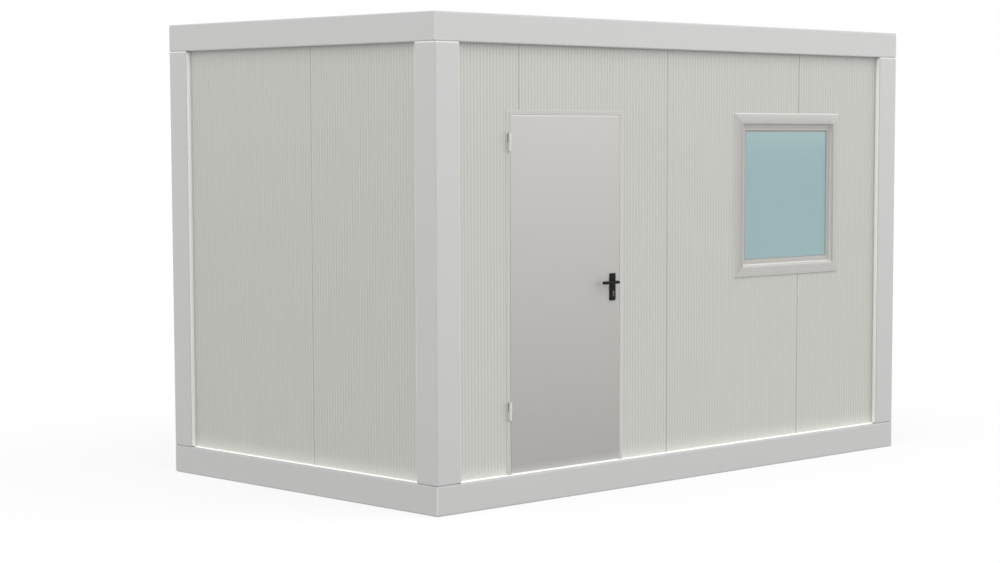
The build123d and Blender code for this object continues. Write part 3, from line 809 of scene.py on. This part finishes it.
class CONTAINER_OT_window(ContainerOperator, bpy.types.Operator):
    """Finish the window and set its gaskets and beads"""

    bl_idname = "container.window"
    bl_label = "Window"

    def make(self, finish, fittings, studio):
        trim_low, trim_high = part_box("window_trim_right")
        middle = middle_of("window_glass")
        inner, outer = trim_low.x - middle.x, trim_high.x - middle.x
        trim = trim_plastic("trim_plastic", finish.window_plastic, middle, inner, outer)
        paint(trim, *nodes_like("window_trim"))
        # Painted shade: casing and sash take a darker copy of the window plastic.
        sash = window_plastic("sash_shaded_plastic", shade(finish.window_plastic, 0.92))[0]
        paint(sash, "window_casing", "window_sash")
        paint(tinted_pane("tinted_pane", finish.pane_tint), "window_glass")

        rubber = moulded_plastic("gasket_rubber", finish.gasket, 0.6)
        glass_low, glass_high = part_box("window_glass")
        half = (glass_high.x - glass_low.x) / 2 - fittings.glass_rebate
        width = fittings.gasket_width
        build = bmesh.new()
        for face, outward in ((glass_low.y, -1), (glass_high.y, 1)):
            profile = half_round(-0.0005, width, face - outward * BITE, outward * width * 0.8, 6)
            profile_run(build, square_run(middle, half), profile, True)
        add_piece("window_gaskets", build, rubber, "root")

        sash_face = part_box("window_sash")[0].y
        lap, steps, wide = 0.0008, 6, fittings.bead_width
        rise = sash_face - trim_low.y - 0.004
        profile = [(-lap, sash_face + BITE), (-lap, sash_face - rise)]
        for number in range(steps + 1):
            angle = math.pi / 2 * number / steps
            profile.append((wide * (1 - math.cos(angle)), sash_face - rise * (1 - math.sin(angle))))
        profile.append((wide, sash_face + BITE))
        # Painted highlight: the bead between trim and sash takes a lighter copy of the window plastic.
        bead = window_plastic("bead_plastic", shade(finish.window_plastic, 1.45))[0]
        add_run("window_bead", square_run(middle, inner), profile, bead, True)

        wall, wide, lap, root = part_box("front_panel_3")[0].y, fittings.edge_bead, 0.0006, 0.0014
        turns = ((1, 0), (1, -1), (-1, -1), (-1, 0))
        stations = [(x, z, *turn) for (x, z, _, _), turn in zip(square_run(middle, outer), turns)]
        profile = [(lap, wall - wide), (-wide, wall - lap), (-wide, wall + root), (lap, wall + root)]
        # Painted highlight: the pale bead round the trim's outer edge stands for light along that edge.
        white = window_plastic("edge_bead_plastic", shade(finish.white_seal, 0.62))[0]
        add_run("window_edge_bead", stations, profile, white)


class CONTAINER_OT_door_seal(ContainerOperator, bpy.types.Operator):
    """Set the seals on the stop and round the leaf, the bead round the frame and the strip below the leaf"""

    bl_idname = "container.door_seal"
    bl_label = "Door seals"

    def make(self, finish, fittings, studio):
        left_low, left_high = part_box("door_jamb_hinge_side")
        right_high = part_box("door_jamb_lock_side")[1]
        leaf_low, leaf_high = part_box("door_leaf")
        bite, lap = 0.0002, 0.0004

        def stations(inward):
            left, right, top = left_low.x + inward, right_high.x - inward, left_high.z - inward
            foot = left_low.z + 0.004
            return [(left, foot, 1, 0), (left, top, 1, -1), (right, top, -1, -1), (right, foot, -1, 0)]

        rubber = moulded_plastic("seal_rubber", finish.rubber, 0.6)
        stop_face = leaf_high.y + fittings.stop_gap
        half = fittings.seal_width / 2
        profile = half_round(-half, half, stop_face + bite, -fittings.seal_height, 10)
        on_stop = fittings.door_flange + fittings.leaf_rebate + fittings.stop_width / 2
        add_run("door_seal", stations(on_stop), profile, rubber)

        pale = moulded_plastic("groove_seal_rubber", finish.groove_seal, 0.6, 0.3, 0.03)
        step_face = leaf_low.y + fittings.leaf_lip + fittings.stop_gap + bite
        crown, wide = leaf_low.y + fittings.groove_depth, fittings.groove_seal_width
        profile = [(lap, step_face), (lap, crown + 0.0012), (0.0012, crown), (wide - 0.0006, crown)]
        profile += [(wide, crown + 0.0008), (wide, step_face)]
        add_run("door_groove_seal", stations(fittings.door_flange), profile, pale)

        wall, face, wide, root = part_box("front_panel_1")[0].y, left_low.y, fittings.edge_bead, 0.0014
        profile = [(lap, face + BITE), (-wide, wall - 0.0006), (-wide, wall + root), (lap, wall + root)]
        bead = moulded_plastic("frame_bead_sealant", finish.panel_paint, 0.6, 0.3, 0.03)
        add_run("door_frame_bead", stations(0.0), profile, bead)

        short, front, back = 0.004, leaf_low.y + 0.0006, leaf_low.y + 0.0045
        low = (leaf_low.x + short, front, leaf_low.z - fittings.sweep_height)
        build = bmesh.new()
        add_box(build, low, (leaf_high.x - short, back, leaf_low.z + 0.0005))
        soften(build, 0.0012)
        # Painted light: the white strip below the leaf stands for a glow at the door's foot.
        white = moulded_plastic("door_sweep_rubber", finish.white_seal, 0.6, 0.3, 0.02)
        add_piece("door_sweep", build, white, "door")


class CONTAINER_OT_lock(ContainerOperator, bpy.types.Operator):
    """Set the lock's edge plate, its strike plate and the key slots"""

    bl_idname = "container.lock"
    bl_label = "Lock parts"

    def make(self, finish, fittings, studio):
        steel = brushed_metal("lock_steel", (0.55, 0.55, 0.54), 0.36, (700.0, 700.0, 25.0))
        dark, nickel = bpy.data.materials["seal_rubber"], bpy.data.materials["lock_nickel"]
        spindle, middle, edge, jamb = lock_places(fittings)
        bite = 0.0004
        thickness = fittings.lock_plate + bite
        level = spindle.z

        build = bmesh.new()
        across, along = [middle - 0.010, middle + 0.010], [level - 0.150, level + 0.085]
        plate_with_holes(build, edge - bite, across, along, (), thickness)
        foot = edge + 0.0005
        wide, tall = 0.006, 0.011
        nose = (edge + 0.0033, middle + wide, level + tall)
        latch = add_box(build, (foot, middle - wide, level - tall), nose)
        for vert in latch:
            if vert.co.x > edge + 0.002 and vert.co.y > middle:
                vert.co.x -= 0.0014
        add_box(build, (foot, middle - 0.005, level - 0.092), (edge + 0.0022, middle + 0.005, level - 0.062))
        add_piece("lock_edge_plate", build, steel, "door")

        pockets = ((-0.094, -0.060), (-0.014, 0.014))
        build = bmesh.new()
        across = [middle + y for y in (-0.011, -0.007, 0.007, 0.011)]
        along = [level + z for z in (-0.130, *pockets[0], *pockets[1], 0.065)]
        plate_with_holes(build, jamb + bite, across, along, {(1, 1), (1, 3)}, -thickness)
        add_piece("lock_strike_plate", build, steel, "root")
        build = bmesh.new()
        half = 0.0069
        for low, high in pockets:
            start = (jamb - BITE, middle - half, level + low)
            add_box(build, start, (jamb + bite, middle + half, level + high))
        add_piece("lock_strike_pockets", build, dark, "root")

        low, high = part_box("lock_cylinder")
        across, barrel = (low.x + high.x) / 2, high.z - (high.x - low.x) / 2
        faces = ((low.y, -1), (high.y, 1))
        outline = [(0, -0.0004), (0.0062, -0.0004), (0.0062, 0.0003), (0.0056, 0.0008), (0, 0.0008)]
        build = bmesh.new()
        for face, outward in faces:
            turn = Matrix.Rotation(-outward * math.pi / 2, 4, "X")
            revolved(build, outline, 24, Matrix.Translation((across, face, barrel)) @ turn)
        add_piece("lock_plugs", build, nickel, "door")
        build = bmesh.new()
        for face, outward in faces:
            near, far = face + outward * BITE, face + outward * 0.00095
            for foot, head, half in ((-0.0048, 0.0012, 0.0006), (0.0012, 0.0046, 0.0011)):
                add_box(build, (across - half, near, barrel + foot), (across + half, far, barrel + head))
        add_piece("lock_key_slots", build, dark, "door")


class CONTAINER_OT_sill(ContainerOperator, bpy.types.Operator):
    """Lay the ribbed sill plate in the doorway"""

    bl_idname = "container.sill"
    bl_label = "Door sill"

    def make(self, finish, fittings, studio):
        aluminium = brushed_metal("sill_aluminium", (0.62, 0.625, 0.63), 0.4, (20.0, 600.0, 600.0))
        room, bite = 0.0005, 0.0002
        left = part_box("door_jamb_hinge_side")[1].x + room
        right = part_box("door_jamb_lock_side")[0].x - room
        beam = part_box("base_beam_front")[1]
        front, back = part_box("door_leaf")[0].y + fittings.leaf_lip, beam.y
        sheet_top, rib_top = beam.z + fittings.sill_sheet, beam.z + fittings.sill_height
        outline = [(front, beam.z - bite), (front, sheet_top)]
        pitch = (back - front) / fittings.sill_ribs
        for number in range(fittings.sill_ribs):
            middle = front + pitch * (number + 0.5)
            for share, height in ((-0.26, sheet_top), (-0.16, rib_top), (0.16, rib_top), (0.26, sheet_top)):
                outline.append((middle + pitch * share, height))
        outline += [(back, sheet_top), (back, beam.z - bite)]
        build = bmesh.new()
        loft(build, [[(x, y, z) for y, z in outline] for x in (left, right)])
        add_piece("door_sill", build, aluminium, "root")


class CONTAINER_OT_wall_seals(ContainerOperator, bpy.types.Operator):
    """Seal the walls at their feet, against the corner posts and in their joints"""

    bl_idname = "container.wall_seals"
    bl_label = "Wall seals"

    def make(self, finish, fittings, studio):
        white = moulded_plastic("white_sealing_strip", finish.white_seal, 0.55, 0.3, 0.02)
        first_post, last_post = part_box("corner_post_front_left")[1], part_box("corner_post_back_right")[0]
        front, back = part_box("front_panel_1")[0].y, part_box("back_panel_1")[1].y
        left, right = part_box("left_panel_1")[0].x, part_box("right_panel_1")[1].x
        foot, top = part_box("base_beam_front")[1].z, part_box("roof_beam_front")[0].z
        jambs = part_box("door_jamb_hinge_side")[0].x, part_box("door_jamb_lock_side")[1].x

        wide, high, lap, toe = fittings.foot_seal_width, fittings.foot_seal_height, 0.0012, 0.0008
        fillet = [(-lap, -BITE), (wide, -BITE), (wide, toe), (0.001, high), (-lap, high)]
        lap, low = 0.0005, 0.0028
        threshold = [(-lap, -BITE), (wide, -BITE), (wide, toe), (0.006, low), (-lap, low)]
        runs = (
            (fillet, (first_post.x, front), (jambs[0], front), (0, -1)),
            (fillet, (jambs[1], front), (last_post.x, front), (0, -1)),
            (fillet, (first_post.x, back), (last_post.x, back), (0, 1)),
            (fillet, (left, first_post.y), (left, last_post.y), (-1, 0)),
            (fillet, (right, first_post.y), (right, last_post.y), (1, 0)),
            (threshold, (jambs[0], front), (jambs[1], front), (0, -1)),
        )
        build = bmesh.new()
        for profile, *ends, (out_x, out_y) in runs:
            loft(build, [[(x + out_x * a, y + out_y * a, foot + up) for a, up in profile] for x, y in ends])
        add_piece("wall_foot_seals", build, white, "root")

        thick, strip, strip_top = 0.0008, fittings.edge_strip_width, top - 0.006
        build = bmesh.new()
        for axis, walls in ((0, (front, back)), (1, (left, right))):
            for edge in (first_post[axis], last_post[axis]):
                inward = math.copysign(thick, -edge)
                for wall in walls:
                    corners = [(edge - inward / 2, wall), (edge + inward, wall + math.copysign(strip, wall))]
                    start, end = [corner[::-1] for corner in corners] if axis else corners
                    add_box(build, (*start, foot + high), (*end, strip_top))
        soften(build, 0.00035)
        add_piece("post_edge_strips", build, white, "root")

        # Painted highlight: the white strips at the posts' heads stand for a light line under the roof beam.
        set_back, thick, short = 0.0008, 0.004, 0.005
        build = bmesh.new()
        for name in nodes_like("corner_post"):
            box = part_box(name)
            signs = [math.copysign(1, value) for value in box[0].xy]
            outer = [box[sign > 0][axis] for axis, sign in enumerate(signs)]
            inner = [box[sign < 0][axis] for axis, sign in enumerate(signs)]
            for axis, other in ((0, 1), (1, 0)):
                start, end = outer[:], inner[:]
                start[axis] -= signs[axis] * set_back
                end[axis] = outer[axis] - signs[axis] * thick
                start[other] -= signs[other] * short
                end[other] += signs[other] * short
                add_box(build, (*start, top - fittings.head_seal_height), (*end, top + 0.0002))
        soften(build, 0.0008)
        add_piece("post_head_seals", build, white, "root")

        long_joints, end_joint = panel_joints()
        half, deep, thick = fittings.joint_seal_width / 2, fittings.joint_seal_depth, 0.002
        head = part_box("door_head")[1].z
        trim_foot, trim_top = [corner.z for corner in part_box("window_trim_left")]
        spans = [(long_joints[0], head, top), (long_joints[1], foot, top)]
        spans += [(long_joints[2], foot, trim_foot), (long_joints[2], trim_top, top)]
        build = bmesh.new()
        for joint, start, end in spans:
            add_box(build, (joint - half, front + deep, start), (joint + half, front + deep + thick, end))
        for joint in long_joints:
            add_box(build, (-joint - half, back - deep - thick, foot), (-joint + half, back - deep, top))
        for x in (left + deep, right - deep - thick):
            add_box(build, (x, end_joint - half, foot), (x + thick, end_joint + half, top))
        soften(build, 0.0007)
        cord = moulded_plastic("joint_cord", shade(finish.panel_paint, 0.85), 0.6, 0.3, 0.03)
        add_piece("panel_joint_cords", build, cord, "root")


class CONTAINER_OT_fixings(ContainerOperator, bpy.types.Operator):
    """Set the screws of the lock and the roof"""

    bl_idname = "container.fixings"
    bl_label = "Screws"

    def make(self, finish, fittings, studio):
        zinc = brushed_metal("screw_zinc", (0.50, 0.50, 0.48), 0.4, (300.0, 300.0, 300.0))
        tree = fixing_tree(zinc)
        head = screw_head(fittings.screw_radius)
        spindle, middle, edge, jamb = lock_places(fittings)
        edge, jamb = edge + fittings.lock_plate, jamb - fittings.lock_plate
        plate_low, plate_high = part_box("handle_plates")
        inset = 0.014
        levels = (plate_low.z + inset, plate_high.z - inset)
        on_door = [((spindle.x, plate_high.y, z), (0, 1, 0)) for z in levels]
        on_door += [((edge, middle, spindle.z + z), (1, 0, 0)) for z in (-0.138, 0.073)]
        set_fixings("lock_screws", tree, head, on_door, zinc, "door")
        on_jamb = [((jamb, middle, spindle.z + z), (-1, 0, 0)) for z in (-0.112, 0.040)]
        set_fixings("strike_screws", tree, head, on_jamb, zinc, "root")

        washer = roof_screw(fittings.roof_screw_radius)
        ribs, gap = 3, 0.0006
        places = []
        for name in nodes_like("roof_panel"):
            low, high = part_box(name)
            pitch = (high.x - low.x + gap) / ribs
            for rib in range(ribs):
                across = low.x + pitch * (rib + 0.5)
                for share in (0.03, 0.34, 0.66, 0.97):
                    places.append(((across, low.y + (high.y - low.y) * share, high.z), (0, 0, 1)))
        set_fixings("roof_screws", tree, washer, places, zinc, "root")
        for spare in (head, washer):
            bpy.data.objects.remove(spare)


class CONTAINER_OT_studio(ContainerOperator, bpy.types.Operator):
    """Set the floor, the light and the camera"""

    bl_idname = "container.studio"
    bl_label = "Studio"

    def make(self, finish, fittings, studio):
        scene = bpy.context.scene
        scene.view_settings.view_transform = "Standard"
        self.lay_floor(scene, studio.floor_glow)

        world = bpy.data.worlds.new("studio_sky")
        world.use_nodes = True
        tree = world.node_tree
        sky = tree.nodes["Background"]
        sky.inputs["Color"].default_value = (1.0, 1.0, 1.0, 1.0)
        height = along_axis(tree, add_node(tree, "TexCoord", "Generated", {}), "Z")
        overhead = ranged(tree, height, 0.12, 0.35, 1.0, studio.sky_strength)
        below = ranged(tree, height, -0.12, -0.05, studio.ground_strength, 1.0)
        tree.links.new(product(tree, overhead, below), sky.inputs["Strength"])
        scene.world = world

        for name, towards, strength in (
            ("key_light", (0.66, -0.64, 0.40), studio.key_strength),
            ("fill_light", (-0.85, 0.40, 0.35), studio.fill_strength),
            ("top_light", (-0.38, -0.38, 0.84), studio.top_strength),
        ):
            data = bpy.data.lights.new(name, "SUN")
            data.energy = strength
            data.angle = math.radians(70)
            light = bpy.data.objects.new(name, data)
            light.rotation_euler = (-Vector(towards)).to_track_quat("-Z", "Y").to_euler()
            scene.collection.objects.link(light)

        data = bpy.data.cameras.new("studio_camera")
        data.sensor_width = 36.0
        data.lens = studio.camera_lens
        data.shift_x = studio.shift_across
        data.shift_y = studio.shift_up
        data.clip_end = 2000.0
        camera = bpy.data.objects.new("studio_camera", data)
        camera.location = studio.camera_place
        camera.rotation_euler = (math.pi / 2 + studio.camera_pitch, 0.0, -studio.camera_yaw)
        scene.collection.objects.link(camera)
        scene.camera = camera

    def lay_floor(self, scene, glow):
        """Lay a wide white floor that gives off light by itself."""
        material, tree, surface, place = new_finish("studio_floor", 0.9)
        tone = blended(tree, noise(tree, place, 0.4, 2.0), (0.195, 0.195, 0.195), (0.205, 0.205, 0.205))
        tree.links.new(tone, surface.inputs["Base Color"])
        surface.inputs["Specular IOR Level"].default_value = 0.0
        surface.inputs["Emission Color"].default_value = (1.0, 1.0, 1.0, 1.0)
        surface.inputs["Emission Strength"].default_value = glow
        build = bmesh.new()
        bmesh.ops.create_grid(build, x_segments=1, y_segments=1, size=500.0)
        bmesh.ops.translate(build, verts=build.verts, vec=(0, 0, cad_low.z - 0.001))
        mesh = bpy.data.meshes.new("studio_floor")
        build.to_mesh(mesh)
        build.free()
        mesh.materials.append(material)
        floor = bpy.data.objects.new("studio_floor", mesh)
        floor.visible_diffuse = False
        scene.collection.objects.link(floor)


class CONTAINER_PT_looks(bpy.types.Panel):
    """Lists the container's finishes, fittings and studio"""

    bl_idname = "CONTAINER_PT_looks"
    bl_label = "Office container"
    bl_space_type = "VIEW_3D"
    bl_region_type = "UI"
    bl_category = "Container"

    def draw(self, context):
        for group in groups:
            values = getattr(context.scene, group)
            box = self.layout.box()
            for name in values.__annotations__:
                box.prop(values, name)
        for operator in operators:
            self.layout.operator(operator.bl_idname)


groups = {
    "container_finish": ContainerFinish,
    "container_fittings": ContainerFittings,
    "container_studio": ContainerStudio,
}
operators = (
    CONTAINER_OT_frame,
    CONTAINER_OT_panels,
    CONTAINER_OT_floor,
    CONTAINER_OT_door,
    CONTAINER_OT_window,
    CONTAINER_OT_door_seal,
    CONTAINER_OT_lock,
    CONTAINER_OT_sill,
    CONTAINER_OT_wall_seals,
    CONTAINER_OT_fixings,
    CONTAINER_OT_studio,
)


def register():
    for name, group in groups.items():
        bpy.utils.register_class(group)
        setattr(bpy.types.Scene, name, bpy.props.PointerProperty(type=group))
    for operator in operators:
        bpy.utils.register_class(operator)
    bpy.utils.register_class(CONTAINER_PT_looks)


def unregister():
    bpy.utils.unregister_class(CONTAINER_PT_looks)
    for operator in reversed(operators):
        bpy.utils.unregister_class(operator)
    for name, group in reversed(groups.items()):
        delattr(bpy.types.Scene, name)
        bpy.utils.unregister_class(group)


def main():
    register()
    bpy.ops.container.frame()
    bpy.ops.container.panels()
    bpy.ops.container.floor()
    bpy.ops.container.door()
    bpy.ops.container.window()
    bpy.ops.container.door_seal()
    bpy.ops.container.lock()
    bpy.ops.container.sill()
    bpy.ops.container.wall_seals()
    bpy.ops.container.fixings()
    bpy.ops.container.studio()


if __name__ == "__main__":
    main()
